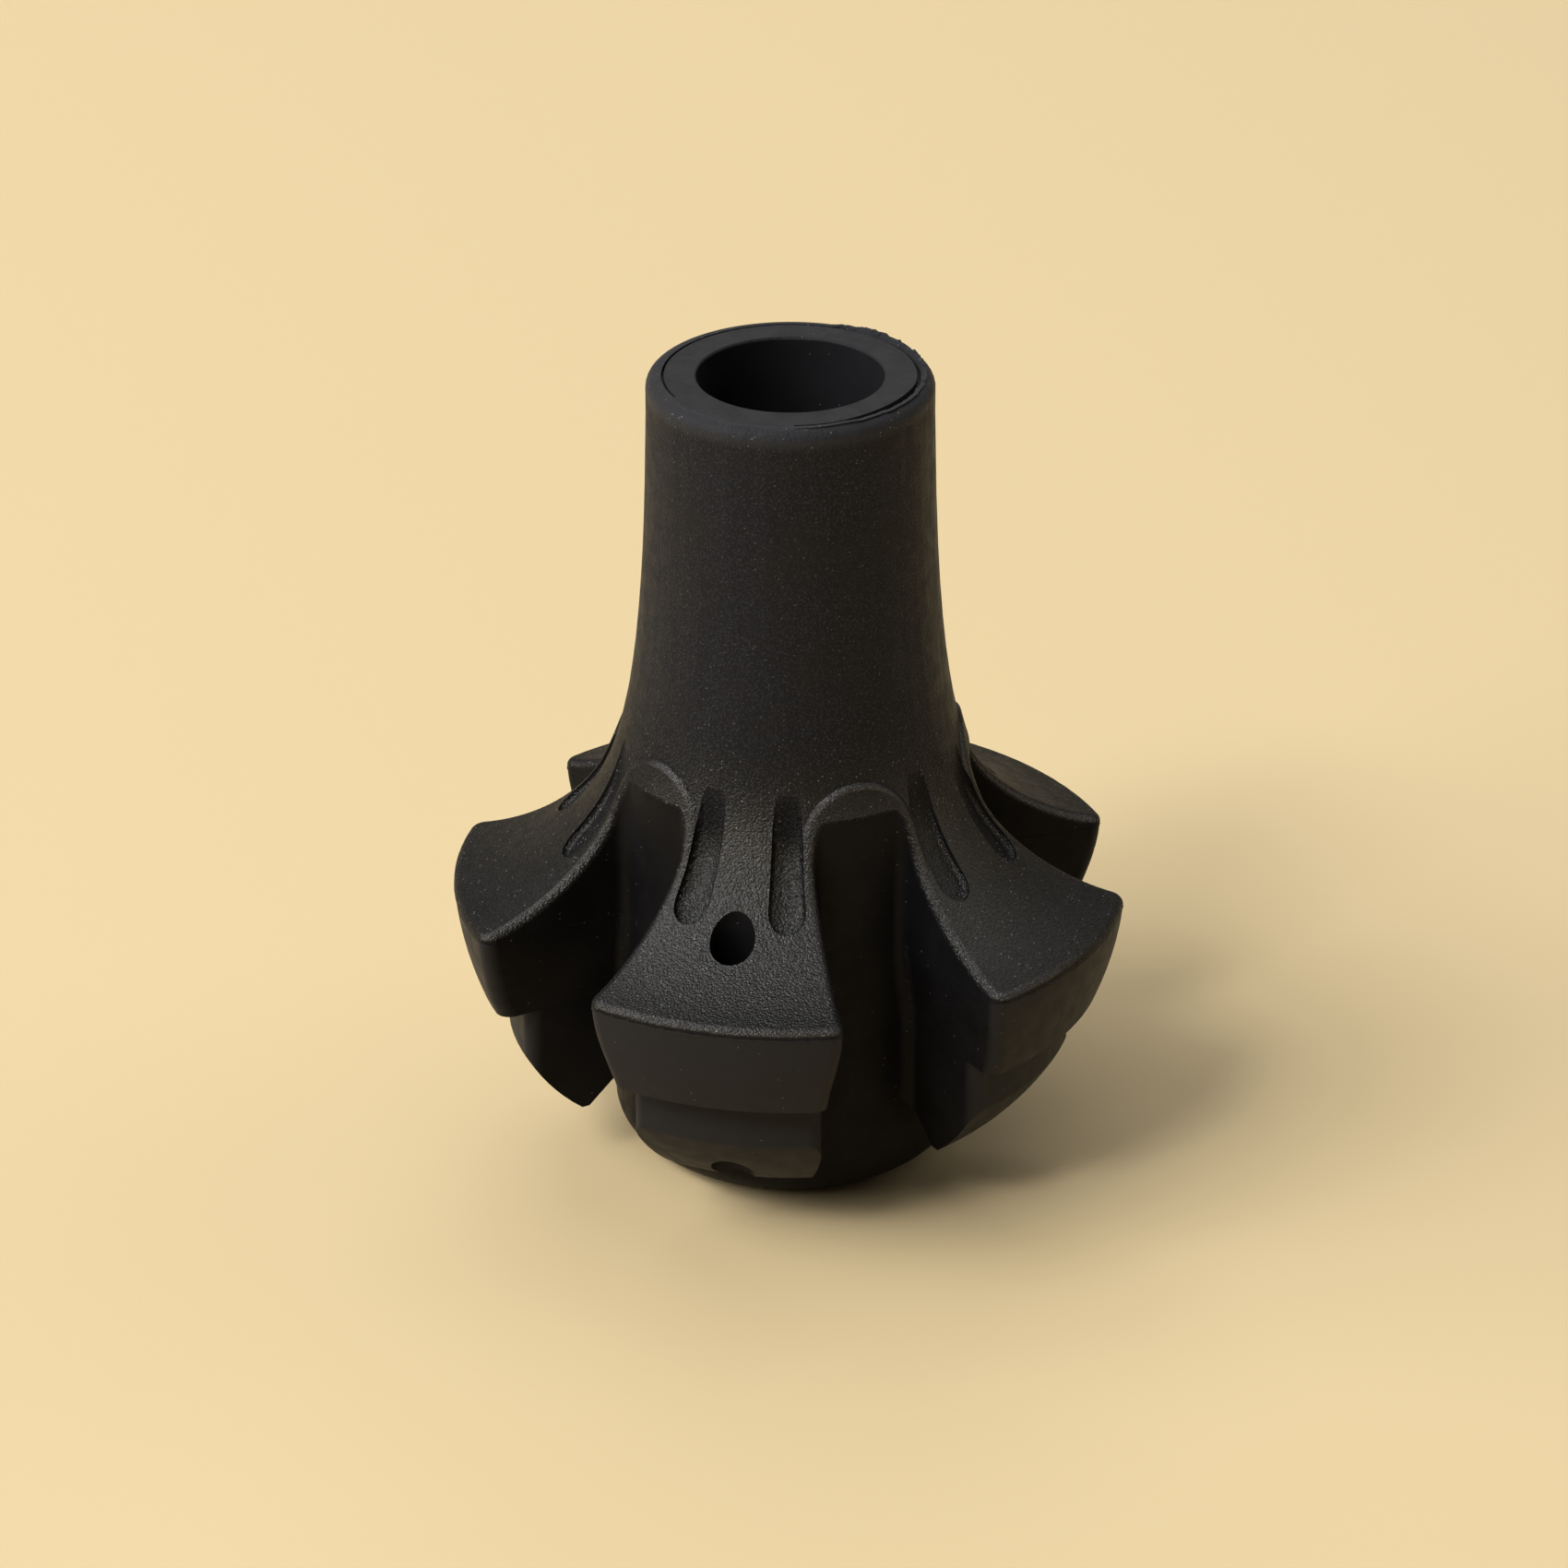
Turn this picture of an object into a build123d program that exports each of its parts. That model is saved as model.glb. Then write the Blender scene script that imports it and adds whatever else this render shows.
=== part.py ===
from build123d import *
import math
import os

# Trekking pole tip: one moulded rubber piece.
# Frame: +Z is the pole axis pointing out of the bore, Z = 0 is the standing face,
# and -Y runs through the middle of the lug that carries the cord hole.
# Lengths are in millimetres and angles in degrees.

# ---- overall sizes ----
HEIGHT = 50.6            # standing face to the mouth of the bore
CORE_R = 10.8            # round core between the lugs
LUGS = 5                 # lugs round the axis
LUG_R = 20.5             # lug tips, measured at the crown
CROWN_Z = 18.0           # lug top at the tip

# ---- pole bore and the sleeve round it ----
BORE_R = 5.5
BORE_DEPTH = 32.0        # flat bottom of the blind bore
BORE_LIP = 0.15          # rounding of the bore mouth
SLEEVE_WALL = 2.98       # bore wall to the outside of the sleeve at its mouth
SLEEVE_STRAIGHT = 2.25   # the sleeve runs straight for this much below its mouth
RIM_ROUND = 0.75         # outside rounding of the mouth

# ---- ring seam in the end face, and the moulding flash that stands along it ----
SEAM_INSET = 1.08        # outside of the sleeve to the seam
SEAM_WIDTH = 0.16
SEAM_DEPTH = 0.35
SEAM_START = 15.0        # where the seam starts, turning from the cord hole lug
SEAM_SWEEP = 295.0       # how far round it runs
FLASH_RISE = 0.25        # the flash stands this much above the end face
FLASH_WIDTH = 0.35
FLASH_SWEEP = 160.0      # it dies away after this much of the seam

# ---- foot ----
BASE_R = 6.5             # flat the tip stands on
FOOT_RISE = 3.1          # height of the round between the flat and the core

# ---- lug section, from the crown down and in to the core ----
TIER_DRAFT = 1.35        # the upper tier is this much smaller in radius at its underside
TIER_SWELL = 0.25        # bulge of its outer face
TIER_Z = 11.9            # underside of the upper tier
TIER_STEP = 1.8          # the lower tier stands back this much
HEEL_Z = 8.5             # lower end of the lower tier's outer wall
TOE_OUT = 2.8            # lowest point of the lug, measured out from the core
TOE_Z = 4.1
TOE_SWELL = 0.3          # bulge of the curve between heel and toe
TOE_BLUNT = 0.2          # height taken off the sharp lowest edge
ARMPIT_Z = 6.5           # where the underside of the lug meets the core

# ---- flare from the sleeve into the lug tops. Each station has its share of the way out from
# ---- the core to the lug tip, or in from the core to the sleeve where it is negative, its
# ---- share of the way up from the crown to the straight part of the sleeve, and the shares
# ---- of the arch step and of the finger depth that it gets ----
SPRING = (0.0410, 0.2306, 0.8, 0.9)      # the arches spring from this station
FLARE = (
    (-0.9482, 0.840, 1.0, -1.0),
    (-0.7047, 0.534, 1.0, -1.0),
    (-0.2798, 0.333, 1.0, 0.0),
    SPRING,
    (0.2788, 0.124, -0.5, 1.0),
    (0.5365, 0.059, -1.0, 1.0),
)

# ---- channels between the lugs ----
CHANNEL_HALF = 2.90      # half width where the channel meets the core
CHANNEL_SPLAY = 11.3     # how far each side opens outwards
CHANNEL_DRAFT = 0.6      # extra half width below the upper tier
CHANNEL_ROUND = 0.8      # inside corners of the channel

# ---- rounded edges of the lugs ----
TOP_EDGE = 0.5           # edges of the lug tops
TIER_CORNER = 0.85       # upright corners of the upper tier
HEEL_CORNER = 0.8        # upright corners of the lower tier
HEEL_ROUND = 0.6         # between the outer wall and the curve to the toe
PARTING_DROP = 0.6       # mould parting line, below the crown and its rounded edge

# ---- raised arch over each channel ----
ARCH_R = 3.9             # half width of the arch at its foot
ARCH_STEP = 0.22         # how far the arch stands out of the sleeve
ARCH_ROUND = 0.5         # rounding of its outer edge

# ---- finger grooves in the lug tops, two to a lug, each starting beside an arch leg ----
FINGER_DEPTH = 0.28
FINGER_ROUND = 0.3       # between the floor of the groove and its sides
FINGER_INNER = 7.7       # angle of the inner side from the middle of the lug
FINGER_END_R = 14.3      # radius reached by the round end

# ---- cord hole ----
CORD_R = 1.35
CORD_PITCH_R = 14.65

# ---- allowances that aren't sizes of the part ----
OVERRUN = 5.0            # cutters run past the part by this much
MATCH = 0.01             # slack when edges are picked by radius and height

# ---- sizes that follow ----
PITCH = 360 / LUGS
HOLE_ANGLE = -90.0                       # the cord hole lug points along -Y
CHANNEL_ANGLE = HOLE_ANGLE + PITCH / 2   # middle of the first channel
TUBE_R = BORE_R + SLEEVE_WALL
SLEEVE_Z = HEIGHT - SLEEVE_STRAIGHT
SEAM_R = TUBE_R - SEAM_INSET
TIER_R = LUG_R - TIER_DRAFT
HEEL_R = TIER_R - TIER_STEP
TOE_R = CORE_R + TOE_OUT
PARTING_Z = CROWN_Z - PARTING_DROP
STATIONS = [
    (
        CORE_R + out * (LUG_R - CORE_R if out > 0 else CORE_R - TUBE_R),
        CROWN_Z + (SLEEVE_Z - CROWN_Z) * up,
    )
    for out, up, _, _ in FLARE
]
ARCH_STEPS = [ARCH_STEP * share for _, _, share, _ in FLARE]
FINGER_DEPTHS = [FINGER_DEPTH * share for _, _, _, share in FLARE]
SPRING_R, ARCH_Z = STATIONS[FLARE.index(SPRING)]
ARCH_LEG_R = SPRING_R + ARCH_STEPS[FLARE.index(SPRING)]
ARCH_ANGLE = math.degrees(math.asin(ARCH_R / ARCH_LEG_R))
ARCH_SLOPE_ANGLE = math.degrees(math.asin((ARCH_R - ARCH_ROUND / 2) / ARCH_LEG_R))
FINGER_OUTER = PITCH / 2 - ARCH_SLOPE_ANGLE
FINGER_ANGLE = (FINGER_INNER + FINGER_OUTER) / 2
FINGER_HALF = math.radians(FINGER_OUTER - FINGER_INNER) / 2
FINGER_CENTRE_R = FINGER_END_R / (1 + math.sin(FINGER_HALF))
FINGER_TANGENT_R = FINGER_CENTRE_R * math.cos(FINGER_HALF) ** 2


def channel_section(widen):
    """Plan of one channel along +X, outside the core, with rounded inside corners."""
    half = CHANNEL_HALF + widen
    start = math.sqrt(CORE_R**2 - half**2)
    reach = LUG_R + OVERRUN
    flank = half + (reach - start) * math.tan(math.radians(CHANNEL_SPLAY))
    with BuildSketch() as plan:
        with BuildLine():
            Polyline((start, half), (reach, flank), (reach, -flank), (start, -half))
            ThreePointArc((start, -half), (CORE_R, 0), (start, half))
        make_face()
        fillet(plan.vertices().sort_by(Axis.X)[:2], CHANNEL_ROUND)
    return plan.sketch


def ring_edges(builder, r_low, r_high, z_low, z_high):
    """Edges whose two ends both lie in the ring between the given radii and heights."""
    found = ShapeList()
    for edge in builder.edges():
        ends = (edge @ 0, edge @ 1)
        radii = [math.hypot(end.X, end.Y) for end in ends]
        heights = [end.Z for end in ends]
        if r_low - MATCH < min(radii) and max(radii) < r_high + MATCH:
            if z_low - MATCH < min(heights) and max(heights) < z_high + MATCH:
                found.append(edge)
    return found


def sloping(edges):
    """Only the edges that change height from one end to the other."""
    return edges.filter_by(lambda edge: abs((edge @ 0).Z - (edge @ 1).Z) > MATCH)


# ---- the whole tip turned solid, as if it had one endless lug ----
with BuildPart() as blank:
    with BuildSketch(Plane.XZ):
        with BuildLine():
            Line((0, 0), (BASE_R, 0))
            EllipticalCenterArc(
                (BASE_R, FOOT_RISE), CORE_R - BASE_R, FOOT_RISE, start_angle=270, arc_size=90
            )
            Polyline((CORE_R, FOOT_RISE), (CORE_R, ARMPIT_Z), (TOE_R, TOE_Z))
            SagittaArc((TOE_R, TOE_Z), (HEEL_R, HEEL_Z), -TOE_SWELL)
            Polyline((HEEL_R, HEEL_Z), (HEEL_R, TIER_Z), (TIER_R, TIER_Z))
            SagittaArc((TIER_R, TIER_Z), (LUG_R, CROWN_Z), -TIER_SWELL)
            Spline((LUG_R, CROWN_Z), *reversed(STATIONS), (TUBE_R, SLEEVE_Z))
            Polyline((TUBE_R, SLEEVE_Z), (TUBE_R, HEIGHT), (0, HEIGHT), (0, 0))
        make_face()
        fillet(vertices().sort_by_distance((TUBE_R, HEIGHT))[0], RIM_ROUND)
        fillet(vertices().sort_by_distance((HEEL_R, HEEL_Z))[0], HEEL_ROUND)
    revolve(axis=Axis.Z)

# ---- one side of a channel: its wall eases outwards from the parting line to the lower tier ----
with BuildPart() as channel_side:
    foot = Vector(math.sqrt(CORE_R**2 - CHANNEL_HALF**2), CHANNEL_HALF)
    run = Vector(1, math.tan(math.radians(CHANNEL_SPLAY))).normalized()
    with BuildSketch(Plane(foot, x_dir=(-run.Y, run.X, 0), z_dir=(run.X, run.Y, 0))):
        with BuildLine():
            upright = Line((0, HEIGHT), (0, PARTING_Z))
            ease = Spline(upright @ 1, (CHANNEL_DRAFT, TIER_Z), tangents=[(0, -1), (0, -1)])
            Polyline(ease @ 1, (-CORE_R, TIER_Z), (-CORE_R, HEIGHT), upright @ 0)
        make_face()
    extrude(amount=LUG_R, both=True)

# ---- one channel along +X, above the lower tiers ----
with BuildPart() as channel:
    add(channel_side.part)
    mirror(about=Plane.XZ, mode=Mode.INTERSECT)
    with Locations((LUG_R / 2 + CORE_R / 2, 0, HEIGHT / 2)):
        Box(LUG_R, LUG_R, HEIGHT, mode=Mode.INTERSECT)
    Cylinder(CORE_R, 3 * HEIGHT, mode=Mode.SUBTRACT)
    fillet(sloping(ring_edges(channel, CORE_R, CORE_R, TIER_Z, HEIGHT)), CHANNEL_ROUND)

# ---- the room round and between the lower tiers, which leaves them round corners ----
with BuildPart() as surround:
    with BuildSketch() as surround_plan:
        Circle(LUG_R + OVERRUN)
        Circle(HEEL_R, mode=Mode.SUBTRACT)
        with PolarLocations(0, LUGS, start_angle=CHANNEL_ANGLE):
            add(channel_section(CHANNEL_DRAFT))
        corners = [v for v in surround_plan.vertices() if abs(math.hypot(v.X, v.Y) - HEEL_R) < MATCH]
        fillet(corners, HEEL_CORNER)
    extrude(amount=TIER_Z)

# ---- raised arch over one channel, along +X. Its crown is a cone and its legs are a wedge, both
# ---- pointing at the pole axis, so they meet smoothly and one rounded edge runs round it ----
with BuildPart() as arch:
    with Locations((LUG_R / 2, 0, ARCH_Z)):
        Cone(LUG_R * math.tan(math.radians(ARCH_ANGLE)), 0, LUG_R, rotation=(0, -90, 0))
    with BuildSketch(Plane.XY.offset(TIER_Z)):
        with BuildLine():
            leg = PolarLine((0, 0), LUG_R, ARCH_ANGLE)
            leg_end = leg @ 1
            Polyline(leg_end, (leg_end.X, -leg_end.Y), (0, 0))
        make_face()
    extrude(amount=ARCH_Z - TIER_Z)
    with BuildSketch(Plane.XZ):
        with BuildLine():
            face = Spline(*[(r + step, z) for (r, z), step in zip(STATIONS, ARCH_STEPS)])
            Polyline(face @ 1, (0, (face @ 1).Y), (0, (face @ 0).Y), face @ 0)
        make_face()
    revolve(axis=Axis.Z, mode=Mode.INTERSECT)
    outside = arch.faces().filter_by(GeomType.REVOLUTION)[0]
    fillet(outside.edges().sort_by(Axis.Z)[1:], ARCH_ROUND)

# ---- one finger groove, along +X: a wedge with a round end and a rounded floor ----
with BuildPart() as finger:
    with BuildSketch(Plane.XY.offset(TIER_Z)):
        with BuildLine():
            side = Line((0, 0), (FINGER_TANGENT_R, FINGER_TANGENT_R * math.tan(FINGER_HALF)))
            side_end = side @ 1
            Polyline(side_end, (side_end.X, -side_end.Y), (0, 0))
        make_face()
        with Locations((FINGER_CENTRE_R, 0)):
            Circle(FINGER_CENTRE_R * math.sin(FINGER_HALF))
    extrude(amount=HEIGHT - TIER_Z)
    with BuildSketch(Plane.XZ):
        with BuildLine():
            floor = Spline(*[(r - deep, z - deep) for (r, z), deep in zip(STATIONS, FINGER_DEPTHS)])
            Polyline(floor @ 1, (LUG_R, (floor @ 1).Y), (LUG_R, (floor @ 0).Y), floor @ 0)
        make_face()
    revolve(axis=Axis.Z, mode=Mode.INTERSECT)
    bottom = finger.faces().filter_by(GeomType.REVOLUTION)[0]
    fillet(bottom.edges().sort_by(Axis.Z)[:-1], FINGER_ROUND)

# ---- ring seam, and the flash along its outside ----
with BuildPart() as seam:
    with BuildSketch(Plane.XZ):
        with Locations((SEAM_R, HEIGHT)):
            Rectangle(SEAM_WIDTH, 2 * SEAM_DEPTH, align=(Align.MIN, Align.CENTER))
    revolve(axis=Axis.Z, revolution_arc=SEAM_SWEEP)

with BuildPart() as flash:
    with BuildSketch(Plane.XZ):
        with Locations((SEAM_R + SEAM_WIDTH, HEIGHT)):
            Rectangle(FLASH_WIDTH, 2 * FLASH_RISE, align=(Align.MIN, Align.CENTER))
    revolve(axis=Axis.Z, revolution_arc=FLASH_SWEEP)

# ---- the tip ----
with BuildPart() as rubber_tip:
    add(blank.part)
    with PolarLocations(0, LUGS, start_angle=CHANNEL_ANGLE):
        add(arch.part)
    with PolarLocations(0, LUGS, start_angle=CHANNEL_ANGLE):
        add(channel.part, mode=Mode.SUBTRACT)
    add(surround.part, mode=Mode.SUBTRACT)
    fillet(sloping(ring_edges(rubber_tip, TIER_R, LUG_R, TIER_Z, CROWN_Z)), TIER_CORNER)
    fillet(ring_edges(rubber_tip, LUG_R, LUG_R, CROWN_Z, CROWN_Z), TOP_EDGE)
    with BuildSketch():
        Circle(LUG_R)
        Circle((CORE_R + TOE_R) / 2, mode=Mode.SUBTRACT)
    extrude(amount=TOE_Z + TOE_BLUNT, mode=Mode.SUBTRACT)
    for side_angle in (-FINGER_ANGLE, FINGER_ANGLE):
        with PolarLocations(0, LUGS, start_angle=HOLE_ANGLE + side_angle):
            add(finger.part, mode=Mode.SUBTRACT)
    with PolarLocations(CORD_PITCH_R, 1, start_angle=HOLE_ANGLE):
        Cylinder(CORD_R, HEIGHT, align=(Align.CENTER, Align.CENTER, Align.MIN), mode=Mode.SUBTRACT)
    with Locations((0, 0, HEIGHT)):
        Hole(BORE_R, depth=BORE_DEPTH)
    fillet(ring_edges(rubber_tip, BORE_R, BORE_R, HEIGHT, HEIGHT), BORE_LIP)
    with Locations(Rotation(0, 0, HOLE_ANGLE + SEAM_START)):
        add(seam.part, mode=Mode.SUBTRACT)
        add(flash.part)

rubber_tip.part.label = "rubber_tip"
os.makedirs("parts", exist_ok=True)
export_step(rubber_tip.part, "parts/rubber_tip.step")
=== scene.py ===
# %% [markdown]
# # Trekking pole tip
# The real object is one moulding in black rubber: a sleeve that slips over the end of a pole,
# flaring into five stepped lugs round a rounded foot. All of its forms, from the bore to the
# rounded lug edges, are already in the solid model, so this file loads that model as a fixed
# frame and gives it a skin: the grain of the mould, the flash it left, the floor and the light.
# Everything is in metres, in the model's own frame: +Z is the pole axis, and Z = 0 is the floor.

# %% Load the solid model
import math

import bmesh
import bpy
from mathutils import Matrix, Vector, noise


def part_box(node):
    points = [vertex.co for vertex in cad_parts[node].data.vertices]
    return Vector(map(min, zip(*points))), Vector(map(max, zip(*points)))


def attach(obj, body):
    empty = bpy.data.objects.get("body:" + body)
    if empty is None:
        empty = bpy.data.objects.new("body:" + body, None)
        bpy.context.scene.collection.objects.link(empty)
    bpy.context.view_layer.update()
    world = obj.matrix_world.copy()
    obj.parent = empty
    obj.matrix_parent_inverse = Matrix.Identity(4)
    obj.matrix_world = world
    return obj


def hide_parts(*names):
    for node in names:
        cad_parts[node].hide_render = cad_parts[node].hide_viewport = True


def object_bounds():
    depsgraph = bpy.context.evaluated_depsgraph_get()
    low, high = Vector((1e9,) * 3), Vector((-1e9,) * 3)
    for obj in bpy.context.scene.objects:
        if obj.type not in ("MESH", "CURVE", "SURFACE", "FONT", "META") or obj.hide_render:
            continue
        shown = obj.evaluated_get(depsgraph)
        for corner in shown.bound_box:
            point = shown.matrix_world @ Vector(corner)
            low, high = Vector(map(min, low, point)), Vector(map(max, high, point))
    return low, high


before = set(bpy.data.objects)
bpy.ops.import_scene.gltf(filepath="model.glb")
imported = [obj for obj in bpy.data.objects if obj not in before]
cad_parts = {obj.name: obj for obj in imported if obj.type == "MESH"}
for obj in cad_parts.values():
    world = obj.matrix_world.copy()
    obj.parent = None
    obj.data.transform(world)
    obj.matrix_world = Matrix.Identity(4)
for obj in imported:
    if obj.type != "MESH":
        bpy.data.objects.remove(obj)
cad_box = [list(corner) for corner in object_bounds()]
MM = 0.001
print("solid model, mm:", [[round(v / MM, 2) for v in corner] for corner in cad_box])

# %% [markdown]
# ## Camera
# Seen through a long lens, a small object shows little perspective. The camera stands 350 mm
# away with a 133 mm lens, a little to the right of the lug with the cord hole and 27 degrees
# above the floor. Placing it by azimuth, elevation and distance round a target is easier to
# reason about than typing a location and three angles, and the lamps are placed in the same way.

# %% Camera
TARGET = Vector((0, 0, 23.7 * MM))
AZIMUTH, ELEVATION = 13.4, 27.24
CAMERA_DISTANCE = 350 * MM


def aim(thing, azimuth, elevation, distance):
    """Stands a camera or lamp at this distance from the target and turns it to face the target."""
    turn, tilt = math.radians(azimuth), math.radians(elevation)
    towards = Vector((
        math.sin(turn) * math.cos(tilt), -math.cos(turn) * math.cos(tilt), math.sin(tilt)
    ))
    thing.location = TARGET + distance * towards
    thing.rotation_euler = (-towards).to_track_quat("-Z", "Y").to_euler()


camera = bpy.data.objects.new("camera", bpy.data.cameras.new("camera"))
bpy.context.scene.collection.objects.link(camera)
aim(camera, AZIMUTH, ELEVATION, CAMERA_DISTANCE)
camera.data.sensor_width = 36
camera.data.lens = 132.9
camera.data.shift_x = -0.0041
camera.data.clip_start = 0.01
bpy.context.scene.camera = camera
print("camera at, mm:", [round(v / MM, 1) for v in camera.location])

# %% [markdown]
# ## Floor
# A plain pale floor is enough to carry the shadow and to bounce a little warm light into the
# lugs. One large square does it. Adding shader nodes takes several lines each, so two small
# helpers come first: one adds a node with its settings and inputs, the other starts a material.

# %% Helpers for nodes
def add_node(tree, kind, inputs=None, **settings):
    """A new node with its settings, and its inputs by name or number, as values or links."""
    made = tree.nodes.new(kind)
    for name, value in settings.items():
        setattr(made, name, value)
    for key, value in (inputs or {}).items():
        if isinstance(value, bpy.types.NodeSocket):
            tree.links.new(value, made.inputs[key])
        else:
            made.inputs[key].default_value = value
    return made


def new_material(name):
    """A material with only its output and a principled shader, which is returned with it."""
    material = bpy.data.materials.new(name)
    material.use_nodes = True
    return material, material.node_tree.nodes["Principled BSDF"]


# %% Floor
FLOOR_SIZE = 6.0
FLOOR_COLOUR = (0.88, 0.69, 0.39, 1)
floor_mesh = bmesh.new()
bmesh.ops.create_grid(floor_mesh, x_segments=1, y_segments=1, size=FLOOR_SIZE / 2)
floor_data = bpy.data.meshes.new("floor")
floor_mesh.to_mesh(floor_data)
floor_mesh.free()
floor = bpy.data.objects.new("floor", floor_data)
bpy.context.scene.collection.objects.link(floor)
floor_paint, floor_shader = new_material("pale floor")
floor_shader.inputs["Base Color"].default_value = FLOOR_COLOUR
floor_shader.inputs["Roughness"].default_value = 0.65
floor_shader.inputs["Specular IOR Level"].default_value = 0.25
floor_data.materials.append(floor_paint)
print("floor:", FLOOR_SIZE, "m square")

# %% [markdown]
# ## Lamps
# Black rubber has almost no colour of its own, so the eye reads it by the lamps it reflects. A
# broad key lamp on the left with a low side lamp beside it lights the sleeve, a small front
# lamp puts the sheen on the flare, and weaker lamps behind, above and on the right keep the far
# lugs from going flat. All stand at one distance, so only direction, size and power have to be
# chosen, and the whole set is levelled so that a colour renders about as it is written.

# %% Lamps
LAMP_DISTANCE = 1.6
# Degrees to the right of the camera, degrees above the floor, side in metres, power in watts.
LAMPS = {
    "key lamp": (-62, 42, 1.0, 15.4),
    "front lamp": (-36, 46, 0.3, 5.8),
    "side lamp": (-95, 25, 1.2, 9.6),
    "back lamp": (180, 42, 1.2, 4.6),
    "right lamp": (110, 35, 1.2, 3.2),
    "high lamp": (-150, 65, 1.0, 2.8),
    "top lamp": (0, 88, 1.6, 2.4),
}
for name, (to_the_right, elevation, size, power) in LAMPS.items():
    lamp = bpy.data.objects.new(name, bpy.data.lights.new(name, "AREA"))
    bpy.context.scene.collection.objects.link(lamp)
    aim(lamp, AZIMUTH + to_the_right, elevation, LAMP_DISTANCE)
    lamp.data.size = size
    lamp.data.energy = power
print("lamps:", len(LAMPS), "with", round(sum(lamp[-1] for lamp in LAMPS.values()), 1), "watts")

# %% [markdown]
# ## World
# The lamps do the lighting, so the world is almost dark and only opens the deepest shadows a
# little. A dark world would also show as a black band above the floor and as black reflections
# in the rubber. A Light Path node tells the kinds of ray apart, so what the camera sees and what
# a glossy surface reflects is a warm, paler surround, which casts no light of its own.

# %% World
FILL_COLOUR, FILL_STRENGTH = (1.0, 0.96, 0.90, 1), 0.02
SURROUND_COLOUR, SURROUND_STRENGTH = (1.0, 0.88, 0.68, 1), 0.3
world = bpy.data.worlds.new("studio")
bpy.context.scene.world = world
world.use_nodes = True
sky = world.node_tree
fill = sky.nodes["Background"]
fill.inputs["Color"].default_value = FILL_COLOUR
fill.inputs["Strength"].default_value = FILL_STRENGTH
surround = add_node(sky, "ShaderNodeBackground", {
    "Color": SURROUND_COLOUR, "Strength": SURROUND_STRENGTH,
})
path = add_node(sky, "ShaderNodeLightPath")
mirrored = add_node(sky, "ShaderNodeMath", {
    0: path.outputs["Is Glossy Ray"], 1: path.outputs["Is Transmission Ray"],
}, operation="MAXIMUM")
seen = add_node(sky, "ShaderNodeMath", {
    0: path.outputs["Is Camera Ray"], 1: mirrored.outputs["Value"],
}, operation="MAXIMUM")
choice = add_node(sky, "ShaderNodeMixShader", {
    0: seen.outputs["Value"], 1: fill.outputs["Background"], 2: surround.outputs["Background"],
})
sky.links.new(choice.outputs["Shader"], sky.nodes["World Output"].inputs["Surface"])
bpy.context.scene.view_settings.view_transform = "Standard"
print("world:", len(sky.nodes), "nodes")

# %% [markdown]
# ## A skin that can be reshaped
# The solid's own mesh can't be changed, so the visible piece is a copy of it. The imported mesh
# is loose triangles, and merging its doubles makes one closed shell that bmesh operators can
# cut. Its exact shading normals would be lost on the way, so they travel with the mesh as an
# attribute on the face corners, and are given back at the end wherever nothing was moved. A
# second attribute, on the points, notes what was moved.

# %% Copy the solid and merge it
MERGE_DISTANCE = 0.001 * MM
TORN, DIPPED = 1.0, 0.5
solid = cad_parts["rubber_tip"]
skin_data = solid.data.copy()
skin_data.name = "tip"
normals = [0.0] * (3 * len(skin_data.loops))
skin_data.corner_normals.foreach_get("vector", normals)
solid_normal = skin_data.attributes.new("solid_normal", "FLOAT_VECTOR", "CORNER")
solid_normal.data.foreach_set("vector", normals)
skin = bmesh.new()
skin.from_mesh(skin_data)
bmesh.ops.remove_doubles(skin, verts=skin.verts[:], dist=MERGE_DISTANCE)
moved = skin.verts.layers.float.new("moved")
print("merged shell:", len(skin.verts), "vertices,", len(skin.faces), "faces, open edges:",
      sum(1 for edge in skin.edges if not edge.is_manifold))


def radius(point):
    """Distance from the pole axis."""
    return math.hypot(point.x, point.y)


def bearing(point):
    """Angle round the axis in degrees, from the lug with the cord hole, counter-clockwise."""
    return math.degrees(math.atan2(point.x, -point.y))


# %% [markdown]
# ## Torn flash on the rim
# Rubber that squeezed out between the mould and its core pin stands up as a thin lip along
# part of the ring seam, and it tore when the part was pulled out. The solid has it as an even
# strip. Subdividing the strip's top edges and moving the new points by a noise function gives
# the ragged edge; a noise texture in the material could not change the outline.

# %% Height of the torn flash
STRIP_HEIGHT = 0.25 * MM
MOUTH_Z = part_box("rubber_tip")[1].z - STRIP_HEIGHT
FLASH_START, NOTCH_AT, FLASH_END = 15.0, 86.0, 175.0
START_RISE, NOTCH_RISE, END_FALL = 20, 4, 12
LOW_LIP, TORN_LIP = 0.09 * MM, 0.16 * MM
LOW_TEETH, COARSE_TEETH, FINE_TEETH = 0.03 * MM, 0.16 * MM, 0.12 * MM


def ragged(angle, per_degree, row=0.0, layer=0.0):
    """Noise along the rim, from -1 to 1. Each row and layer gives another pattern."""
    return noise.noise(Vector((angle * per_degree, row, layer)))


def flash_height(angle):
    """Height of the lip above the end face: a low edge up to the notch, then a torn crest."""
    coarse = ragged(angle, per_degree=0.12, row=3.1)
    fine = ragged(angle, per_degree=0.6, row=7.7)
    if angle < NOTCH_AT:
        rise = min(1, max(0, angle - FLASH_START) / START_RISE)
        height = rise * (LOW_LIP + LOW_TEETH * coarse)
    else:
        rise = min(1, (angle - NOTCH_AT) / NOTCH_RISE)
        rise *= min(1, max(0, FLASH_END - angle) / END_FALL)
        height = rise * (TORN_LIP + COARSE_TEETH * coarse + FINE_TEETH * fine)
    return min(STRIP_HEIGHT, max(0.0, height))


print("flash at the notch, mm:", [round(flash_height(NOTCH_AT + turn) / MM, 2) for turn in (-2, 6)])

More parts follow.
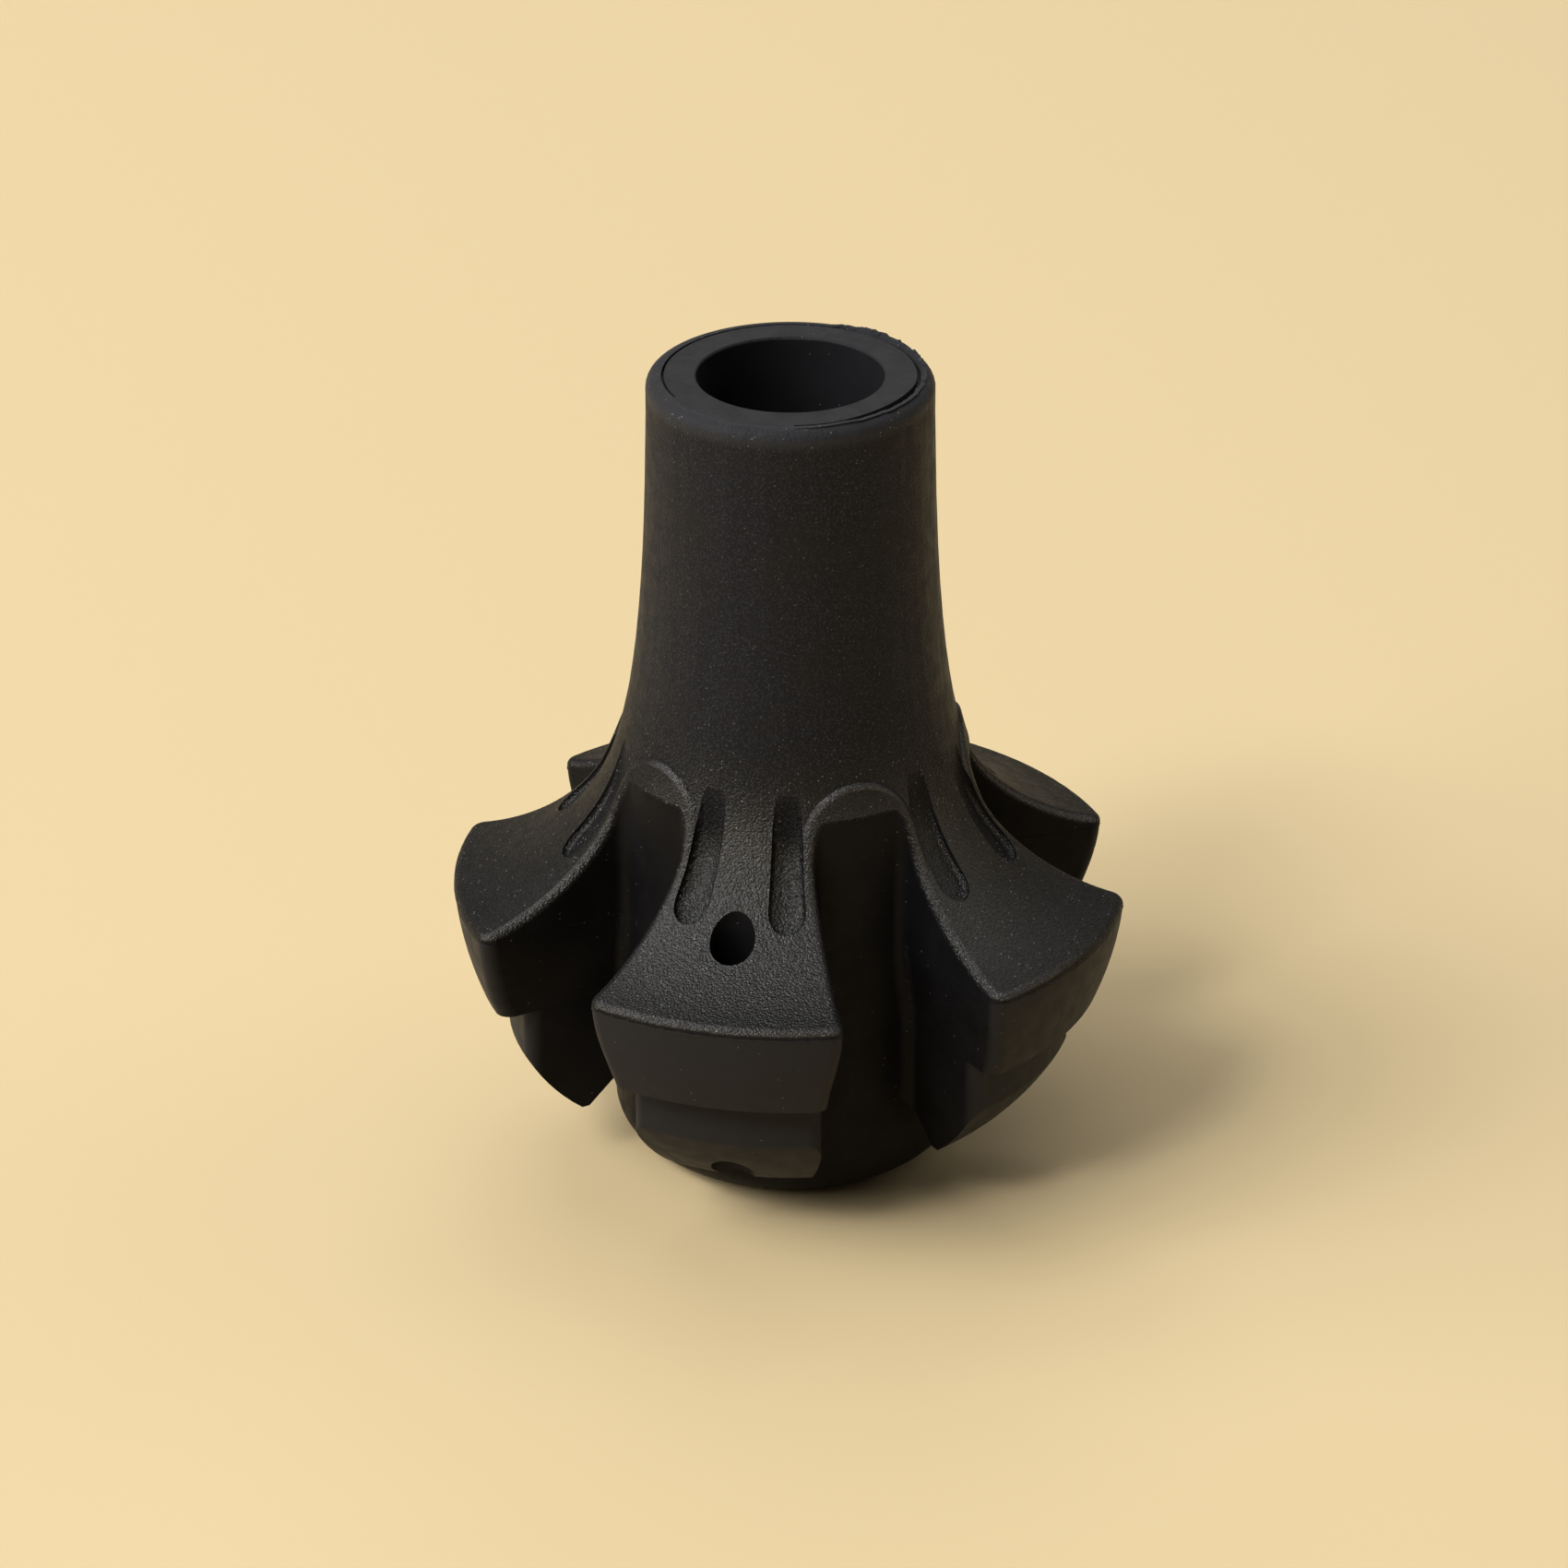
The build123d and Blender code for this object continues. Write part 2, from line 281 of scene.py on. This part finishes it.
# %% Tear the flash
CREST_IN, CREST_OUT = 7.72 * MM, 7.97 * MM
CREST_WANDER = 0.08 * MM
SAME_RADIUS = 0.02 * MM
CUTS = 4


def is_flash_top(vertex):
    """Whether a point lies on the top of the solid's even strip of flash."""
    return vertex.co.z > MOUTH_Z + 0.8 * STRIP_HEIGHT


rim_edges = [
    edge for edge in skin.edges
    if all(is_flash_top(v) for v in edge.verts)
    and abs(radius(edge.verts[0].co) - radius(edge.verts[1].co)) < SAME_RADIUS
]
bmesh.ops.subdivide_edges(skin, edges=rim_edges, cuts=CUTS)
lip = [vertex for vertex in skin.verts if is_flash_top(vertex)]
middle = sum(radius(v.co) for v in lip) / len(lip)
for vertex in lip:
    angle, out = bearing(vertex.co), radius(vertex.co)
    height = flash_height(angle)
    crest = CREST_IN if out < middle else CREST_OUT
    crest += CREST_WANDER * ragged(angle, per_degree=0.3, layer=5.5)
    lean = min(1, height / LOW_LIP)
    vertex.co.xy = vertex.co.xy * ((out + lean * (crest - out)) / out)
    vertex.co.z = MOUTH_Z + height
    vertex[moved] = TORN
bmesh.ops.triangulate(skin, faces=[f for f in skin.faces if len(f.verts) > 3])
print("torn lip:", len(lip), "points, highest", round(max(v.co.z for v in lip) / MM, 2), "mm")

# %% [markdown]
# ## Parting line
# The two halves of the mould meet just under the crowns of the lugs and leave a hair-thin
# ridge round each lug. Three bisecting planes a few hundredths apart cut a band into the
# lug walls, and the middle ring of points is moved outwards along the surface. The ridge is
# rubbed flat at the crowns, so that it never stands proud of the solid's own box.

# %% Raise the parting line
PARTING_Z = 17.42 * MM
BAND_HALF = 0.06 * MM
RIDGE = 0.05 * MM
RIDGE_PATCHES_PER_METRE = 900
CHANNEL_FLOOR_R = 11.2 * MM
for plane_z in (PARTING_Z - BAND_HALF, PARTING_Z, PARTING_Z + BAND_HALF):
    outside = [face for face in skin.faces if radius(face.calc_center_median()) > CHANNEL_FLOOR_R]
    lug_parts = set(outside)
    lug_parts.update(edge for face in outside for edge in face.edges)
    lug_parts.update(vertex for face in outside for vertex in face.verts)
    bmesh.ops.bisect_plane(
        skin, geom=list(lug_parts), dist=1e-7, plane_co=(0, 0, plane_z), plane_no=(0, 0, 1)
    )
bmesh.ops.triangulate(skin, faces=[f for f in skin.faces if len(f.verts) > 3])
skin.normal_update()
ridge = [
    vertex for vertex in skin.verts
    if abs(vertex.co.z - PARTING_Z) < 1e-3 * MM and radius(vertex.co) > CHANNEL_FLOOR_R
]
for vertex in ridge:
    share = 0.7 + 0.5 * noise.noise(vertex.co * RIDGE_PATCHES_PER_METRE)
    vertex.co += vertex.normal * RIDGE * share
    for axis, (low, high) in enumerate(zip(*cad_box)):
        vertex.co[axis] = min(max(vertex.co[axis], low), high)
    vertex[moved] = TORN
print("parting line:", len(ridge), "points")

# %% [markdown]
# ## Finger grooves
# The solid has each finger groove with a level floor. On the real tip the floor dips towards
# its middle, so it catches the light on one side and turns away from it on the other. A
# parabola across the width of the groove pushes its points in, by up to a third of a
# millimetre on the front lug and far less on the others, whose grooves came out softer. Points
# on a crisp edge stay where they are, and the dip fades out towards the top of the groove.

# %% Dip the finger floors
LUG_PITCH = 72.0
FINGER_MIDDLE, FINGER_HALF = 12.49, 4.79
FINGER_CENTRE_R = 13.2 * MM
FINGER_LOW_Z, FINGER_TOP_Z = 21.0 * MM, 28.1 * MM
FADE_LENGTH = 4.6 * MM
SLEEVE_R = 9.5 * MM
FRONT_DIP, OTHER_DIP = 0.34 * MM, 0.06 * MM
CREASE = math.radians(25)
for vertex in skin.verts:
    out, height, turned = radius(vertex.co), vertex.co.z, bearing(vertex.co)
    if not (FINGER_LOW_Z < height < FINGER_TOP_Z and out > SLEEVE_R):
        continue
    from_lug = abs((turned + LUG_PITCH / 2) % LUG_PITCH - LUG_PITCH / 2)
    across = (from_lug - FINGER_MIDDLE) / FINGER_HALF
    beyond = max(0.0, out - FINGER_CENTRE_R) / (FINGER_CENTRE_R * math.radians(FINGER_HALF))
    inside = 1 - across ** 2 - beyond ** 2
    if inside > 0.05 and all(edge.calc_face_angle(0) < CREASE for edge in vertex.link_edges):
        fade = min(1.0, (FINGER_TOP_Z - height) / FADE_LENGTH)
        fade *= fade * (3 - 2 * fade)
        dip = FRONT_DIP if abs(turned) < LUG_PITCH / 2 else OTHER_DIP
        vertex.co -= vertex.normal * dip * inside * fade
        vertex[moved] = DIPPED
print("dipped points:", sum(1 for vertex in skin.verts if vertex[moved] == DIPPED))

# %% [markdown]
# ## Gaping seam
# Pulling on the flash opened the ring seam at the front right, where it shows as a dark crack.
# The solid has the seam as one even groove, so its inner wall is drawn towards the axis there,
# most at the middle of the crack and not at all at its ends.

# %% Open the seam
SEAM_IN_R = 7.4 * MM
SEAM_DEPTH = 0.4 * MM
GAPE = 0.20 * MM
GAPE_MIDDLE, GAPE_HALF = 62, 30
for vertex in skin.verts:
    out = radius(vertex.co)
    if abs(out - SEAM_IN_R) < 0.01 * MM and vertex.co.z > MOUTH_Z - SEAM_DEPTH:
        wide = max(0.0, 1 - ((bearing(vertex.co) - GAPE_MIDDLE) / GAPE_HALF) ** 2)
        vertex.co.xy = vertex.co.xy * ((out - GAPE * wide) / out)
skin.normal_update()
print("seam opened by, mm:", round(GAPE / MM, 2))

# %% [markdown]
# ## Where the mould was textured
# Only the upper half of the mould was etched, so the sleeve, the flare and the lug tops are
# grained and everything below the parting line is smooth. Below it, the outer faces of the lugs
# are scuffed a little paler, and the channels between the lugs and the underside are kept
# darkest as painted shade. The material needs to know which is which, so each face gives
# its corners two numbers from 0 to 1, worked out from where it lies and the way it faces.

# %% Grain and scuff attributes
ARCH_TOP_Z = 26.4 * MM
BORE_R = 5.5 * MM
END_FACE_R = 7.6 * MM
NARROWEST_R = 7.0 * MM
BELOW, ABOVE = 0.1 * MM, 0.1 * MM
END_FACE_GRAIN, BORE_SCUFF = 0.15, 0.6
STEEP, FADE_OVER = 0.05, 0.12


def finish_of(face):
    """How grained a face of the skin is, and how scuffed and pale, from 0 to 1. Steep faces are
    smooth. A 0 in the channels and under the foot keeps them darkest, as painted shade.
    """
    centre, facing = face.calc_center_median(), face.normal
    height, out = centre.z, radius(centre)
    outwards = (facing.x * centre.x + facing.y * centre.y) / max(out, MM)
    if height > MOUTH_Z - BELOW and out < END_FACE_R:
        return END_FACE_GRAIN, 1.0
    if out < BORE_R + 0.2 * MM and outwards < 0:
        return 0.0, BORE_SCUFF
    if height > ARCH_TOP_Z and out > NARROWEST_R:
        return 1.0, 0.0
    if height > PARTING_Z + ABOVE:
        return min(1.0, max(0.0, facing.z - STEEP) / FADE_OVER), 0.0
    # Outward lug faces are scuffed paler; faces turned into the channels get 0, as painted shade.
    if out > CHANNEL_FLOOR_R:
        return 0.0, max(0.0, outwards)
    # The core in the channels and the underside keep the darkest tone, as painted shade.
    return 0.0, 0.0


grain = skin.loops.layers.float.new("grain")
scuff_and_shade = skin.loops.layers.float.new("scuff_and_shade")
for face in skin.faces:
    grained_share, scuff_and_shade_share = finish_of(face)
    for corner in face.loops:
        corner[grain] = grained_share
        corner[scuff_and_shade] = scuff_and_shade_share
print("grained faces:", sum(1 for f in skin.faces if f.loops[0][grain] > 0.5), "of", len(skin.faces))

# %% [markdown]
# ## Back to a mesh
# The reshaped shell becomes the visible piece, which stands in for the solid. The corners of
# faces that were torn take the face's own direction, which keeps the tear crisp, dipped points
# take the smooth normal of their surroundings, and all other corners get the solid's own back.

# %% Finish the mesh and give the normals back
skin.to_mesh(skin_data)
skin.free()
skin_data.polygons.foreach_set("use_smooth", [True] * len(skin_data.polygons))
skin_data.update()
kept = skin_data.attributes["solid_normal"].data
shifted = skin_data.attributes["moved"].data
corners = []
for face in skin_data.polygons:
    torn = any(shifted[v].value > 0.9 * TORN for v in face.vertices)
    for corner, point in zip(face.loop_indices, face.vertices):
        if torn:
            corners.append(face.normal)
        elif shifted[point].value > 0.8 * DIPPED:
            corners.append(skin_data.vertices[point].normal)
        else:
            corners.append(kept[corner].vector.normalized())
skin_data.normals_split_custom_set(corners)
for name in ("solid_normal", "moved"):
    skin_data.attributes.remove(skin_data.attributes[name])
tip = bpy.data.objects.new("tip", skin_data)
bpy.context.scene.collection.objects.link(tip)
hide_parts("rubber_tip")
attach(tip, "root")
print("skin:", len(skin_data.vertices), "vertices,", len(skin_data.polygons), "faces")

# %% [markdown]
# ## Moulded rubber
# Carbon-black rubber is nearly black and reflects weakly, so its look comes from how rough it
# is and how it was handled. One material does the whole piece: the two attributes and the
# height above the floor say which finish belongs where. All patterns are solid noise in object
# coordinates, so they have no seams and need no unwrapping. The helpers below each add a node
# to the rubber's tree and return its result, so that the finish can be written like a sum.

# %% Helpers for the rubber
rubber, shader = new_material("moulded rubber")
tree = rubber.node_tree
coordinates = add_node(tree, "ShaderNodeTexCoord")
place = coordinates.outputs["Object"]


def maths(operation, first, second):
    """Result of one sum, such as ADD or MULTIPLY."""
    return add_node(
        tree, "ShaderNodeMath", {0: first, 1: second}, operation=operation
    ).outputs["Value"]


def ramp(value, low, high, start=0.0, end=1.0):
    """Turns low..high of a value smoothly into start..end."""
    return add_node(tree, "ShaderNodeMapRange", {
        "Value": value, "From Min": low, "From Max": high, "To Min": start, "To Max": end,
    }, interpolation_type="SMOOTHSTEP").outputs["Result"]


def mix_tones(amount, first, second):
    """Colour that goes from first to second as amount goes from 0 to 1."""
    return add_node(
        tree, "ShaderNodeMix", {0: amount, 6: first, 7: second}, data_type="RGBA"
    ).outputs[2]


def cloud(scale, detail=3.0, roughness=0.5):
    """Solid noise, its scale in cycles per metre."""
    return add_node(tree, "ShaderNodeTexNoise", {
        "Vector": place, "Scale": scale, "Detail": detail, "Roughness": roughness,
    }).outputs["Fac"]


def dots(scale, share, size):
    """Scattered dots: cells per metre, the share of cells that have one, and its size."""
    spots = add_node(tree, "ShaderNodeTexVoronoi", {"Vector": place, "Scale": scale}, feature="F1")
    chance = add_node(tree, "ShaderNodeSeparateColor", {"Color": spots.outputs["Color"]})
    return maths(
        "MULTIPLY", ramp(chance.outputs["Red"], 1 - share, 1.02 - share),
        ramp(spots.outputs["Distance"], size, 0.4 * size),
    )


# %% [markdown]
# ## Zones of the finish
# The etched grain is sharpest on the lug tops and the flare and softer on the sleeve, and the
# edge of the rim is rubbed pale and painted lighter as a highlight on its rounding. Each zone is
# the grain attribute times a smooth ramp over the height, so that they fade into each other without
# a line.

# %% Zones
FLARE_Z, SLEEVE_Z = 24 * MM, 34 * MM
RIM_LOW_Z, RIM_HIGH_Z = 49.2 * MM, 49.9 * MM
grained = add_node(tree, "ShaderNodeAttribute", attribute_name="grain").outputs["Fac"]
scuff_and_shade_fac = add_node(tree, "ShaderNodeAttribute", attribute_name="scuff_and_shade").outputs["Fac"]
level = add_node(tree, "ShaderNodeSeparateXYZ", {"Vector": place}).outputs["Z"]
sharp = maths("MULTIPLY", grained, ramp(level, FLARE_Z, SLEEVE_Z, 1.0, 0.0))
# The rim's rounding: rubbed pale, and lighter as a painted highlight.
rubbed_and_lit = maths("MULTIPLY", grained, ramp(level, RIM_LOW_Z, RIM_HIGH_Z))
print("sharp grain up to, mm:", round(SLEEVE_Z / MM, 1))

# %% [markdown]
# ## Relief of the grain
# Etched leather grain is small irregular cells about 0.15 mm across with creases between them,
# which a smooth Voronoi pattern taken away from fine noise gives. The sleeve also has faint
# upright streaks, which are noise with its coordinates squeezed along the pole axis. All of it
# is less than a tenth of a millimetre high, so it is a bump and not a displacement. The same
# bump goes to the coat, or its sheen would look wet.

# %% Relief
CELLS_PER_METRE, STREAKS_PER_METRE = 6600, 520
STREAK_SQUEEZE, STREAK_STRENGTH = 0.03, 2.4
STREAK_LOW_Z = 26 * MM
RELIEF_HEIGHT = 0.08 * MM
cells = add_node(tree, "ShaderNodeTexVoronoi", {
    "Vector": place, "Scale": CELLS_PER_METRE, "Smoothness": 0.4,
}, feature="SMOOTH_F1").outputs["Distance"]
leather = maths("SUBTRACT", cloud(10500), cells)
strength = maths("MULTIPLY", grained, ramp(sharp, 0, 1, 0.35, 1.0))
faint = maths("ADD", maths("MULTIPLY", cloud(6000), 0.05), maths("MULTIPLY", cloud(1400), 0.10))
squeezed = add_node(tree, "ShaderNodeVectorMath", {
    0: place, 1: (1, 1, STREAK_SQUEEZE),
}, operation="MULTIPLY").outputs["Vector"]
drawn = add_node(tree, "ShaderNodeTexNoise", {
    "Vector": squeezed, "Scale": STREAKS_PER_METRE, "Detail": 2.0,
}).outputs["Fac"]
on_sleeve = maths("MULTIPLY", grained, ramp(level, STREAK_LOW_Z, SLEEVE_Z, 0.0, STREAK_STRENGTH))
grain_height = maths("ADD", maths("MULTIPLY", leather, strength), faint)
relief = add_node(tree, "ShaderNodeBump", {
    "Height": maths("ADD", grain_height, maths("MULTIPLY", drawn, on_sleeve)),
    "Distance": RELIEF_HEIGHT,
}).outputs["Normal"]
tree.links.new(relief, shader.inputs["Normal"])
tree.links.new(relief, shader.inputs["Coat Normal"])
print("grain cells, mm:", round(1 / CELLS_PER_METRE / MM, 2))

# %% [markdown]
# ## Tone of the rubber
# The smooth lower half is the blackest and slightly clouded. Its channels and underside are kept
# darkest as painted shade, and its outward, scuffed faces are paler.
# On the grain the peaks are painted paler and the creases darker, as painted light and shade
# on the relief, more so on the sleeve, where handling has also left faint brown stains. The tones
# are mixed by the same zones and by the height of the grain, so that relief and colour belong
# together.

# %% Tone
DEEP_BLACK, CLOUDED_BLACK = (0.0046, 0.0045, 0.0054, 1), (0.0085, 0.0082, 0.0096, 1)
SCUFFED_BLACK = (0.0210, 0.0204, 0.0225, 1)
# Crease tones are painted shade and peak tones are painted light on the grain.
SLEEVE_CREASE_SHADE, SLEEVE_PEAK_LIGHT = (0.0135, 0.0138, 0.0168, 1), (0.0300, 0.0306, 0.0370, 1)
BROWN_STAIN = (0.0190, 0.0165, 0.0150, 1)
LUG_CREASE_SHADE, LUG_PEAK_LIGHT = (0.0050, 0.0050, 0.0055, 1), (0.0230, 0.0230, 0.0245, 1)
RUBBED_AND_LIT_GREY = (0.040, 0.041, 0.046, 1)
bloom = ramp(cloud(160, detail=6, roughness=0.6), 0.35, 0.7)
deep_tone = mix_tones(bloom, DEEP_BLACK, CLOUDED_BLACK)
# Painted shade: channels and underside keep the deep tone, while outward, scuffed faces are paler.
smooth_tone = mix_tones(scuff_and_shade_fac, deep_tone, SCUFFED_BLACK)
# Painted light and shade: the peaks of the grain are lighter, its creases darker.
painted_relief_light = ramp(leather, 0.0, 0.35)
stains = ramp(cloud(230, detail=5, roughness=0.65), 0.45, 0.75, 0.0, 0.6)
sleeve_tone = mix_tones(stains, mix_tones(painted_relief_light, SLEEVE_CREASE_SHADE, SLEEVE_PEAK_LIGHT), BROWN_STAIN)
lug_tone = mix_tones(painted_relief_light, LUG_CREASE_SHADE, LUG_PEAK_LIGHT)
clean = mix_tones(sharp, mix_tones(grained, smooth_tone, sleeve_tone), lug_tone)
# Grey on the rim's rounding: partly wear, partly a painted highlight.
clean = mix_tones(maths("MULTIPLY", rubbed_and_lit, 0.6), clean, RUBBED_AND_LIT_GREY)
print("tones mixed, nodes so far:", len(tree.nodes))

# %% [markdown]
# ## Dust and painted glints
# Pale specks of dust sit on the rubber everywhere. On the grained areas, pale dots in the base
# colour are painted glints, standing in for single peaks that flash in the light. Both are the
# middles of Voronoi cells, of which a random share gets a dot: large and few for the dust, fine
# and close for the painted glints, which are densest where the grain is sharp and on the rubbed rim.

# %% Dust and painted glints
DUST_PER_METRE, PAINTED_GLINTS_PER_METRE = 1700, 4400
DUST_GREY, PAINTED_GLINT_GREY = (0.12, 0.11, 0.10, 1), (0.20, 0.20, 0.21, 1)
dust = dots(DUST_PER_METRE, share=0.30, size=0.10)
fine_dots = dots(PAINTED_GLINTS_PER_METRE, share=0.15, size=0.27)
# Painted glints: pale dots in the base colour, densest on the sharp grain and on the rim.
most_painted_glints = maths("MAXIMUM", ramp(sharp, 0, 1, 0.3, 1.0), rubbed_and_lit)
painted_glints = maths("MULTIPLY", most_painted_glints, maths("MULTIPLY", grained, fine_dots))
tone = mix_tones(painted_glints, mix_tones(dust, clean, DUST_GREY), PAINTED_GLINT_GREY)
tree.links.new(tone, shader.inputs["Base Color"])
print("cells for dust and glints, mm:",
      round(1 / DUST_PER_METRE / MM, 2), round(1 / PAINTED_GLINTS_PER_METRE / MM, 2))

# %% [markdown]
# ## Gloss of the rubber
# The rubber itself is dull, with a low specular level and an uneven roughness. The lug tops and
# the flare have a soft sheen on top, which is a thin coat. It lies only on grained faces that
# look upwards and below the sleeve, and a Layer Weight node holds it back at grazing angles,
# because a full coat would mirror the bright floor along the edges and look varnished.

# %% Gloss
DULLEST, LEAST_DULL = 0.58, 0.46
SHEEN_STEEP, SHEEN_FLAT = 0.12, 0.45
SHEEN_FULL_Z, SHEEN_TOP_Z = 30 * MM, 36 * MM
uneven = ramp(cloud(900, detail=4), 0.3, 0.7, LEAST_DULL, DULLEST)
tree.links.new(uneven, shader.inputs["Roughness"])
shader.inputs["Specular IOR Level"].default_value = 0.085
upwards = add_node(tree, "ShaderNodeSeparateXYZ", {"Vector": coordinates.outputs["Normal"]})
upper = maths(
    "MULTIPLY", ramp(upwards.outputs["Z"], SHEEN_STEEP, SHEEN_FLAT),
    ramp(level, SHEEN_FULL_Z, SHEEN_TOP_Z, 1.0, 0.0),
)
grazing = add_node(tree, "ShaderNodeLayerWeight").outputs["Facing"]
sheen = maths("MULTIPLY", maths("MULTIPLY", grained, upper), ramp(grazing, 0.12, 0.5, 1.0, 0.08))
tree.links.new(sheen, shader.inputs["Coat Weight"])
shader.inputs["Coat Roughness"].default_value = 0.17
tip.data.materials.clear()
tip.data.materials.append(rubber)
print("material:", len(tree.nodes), "nodes")
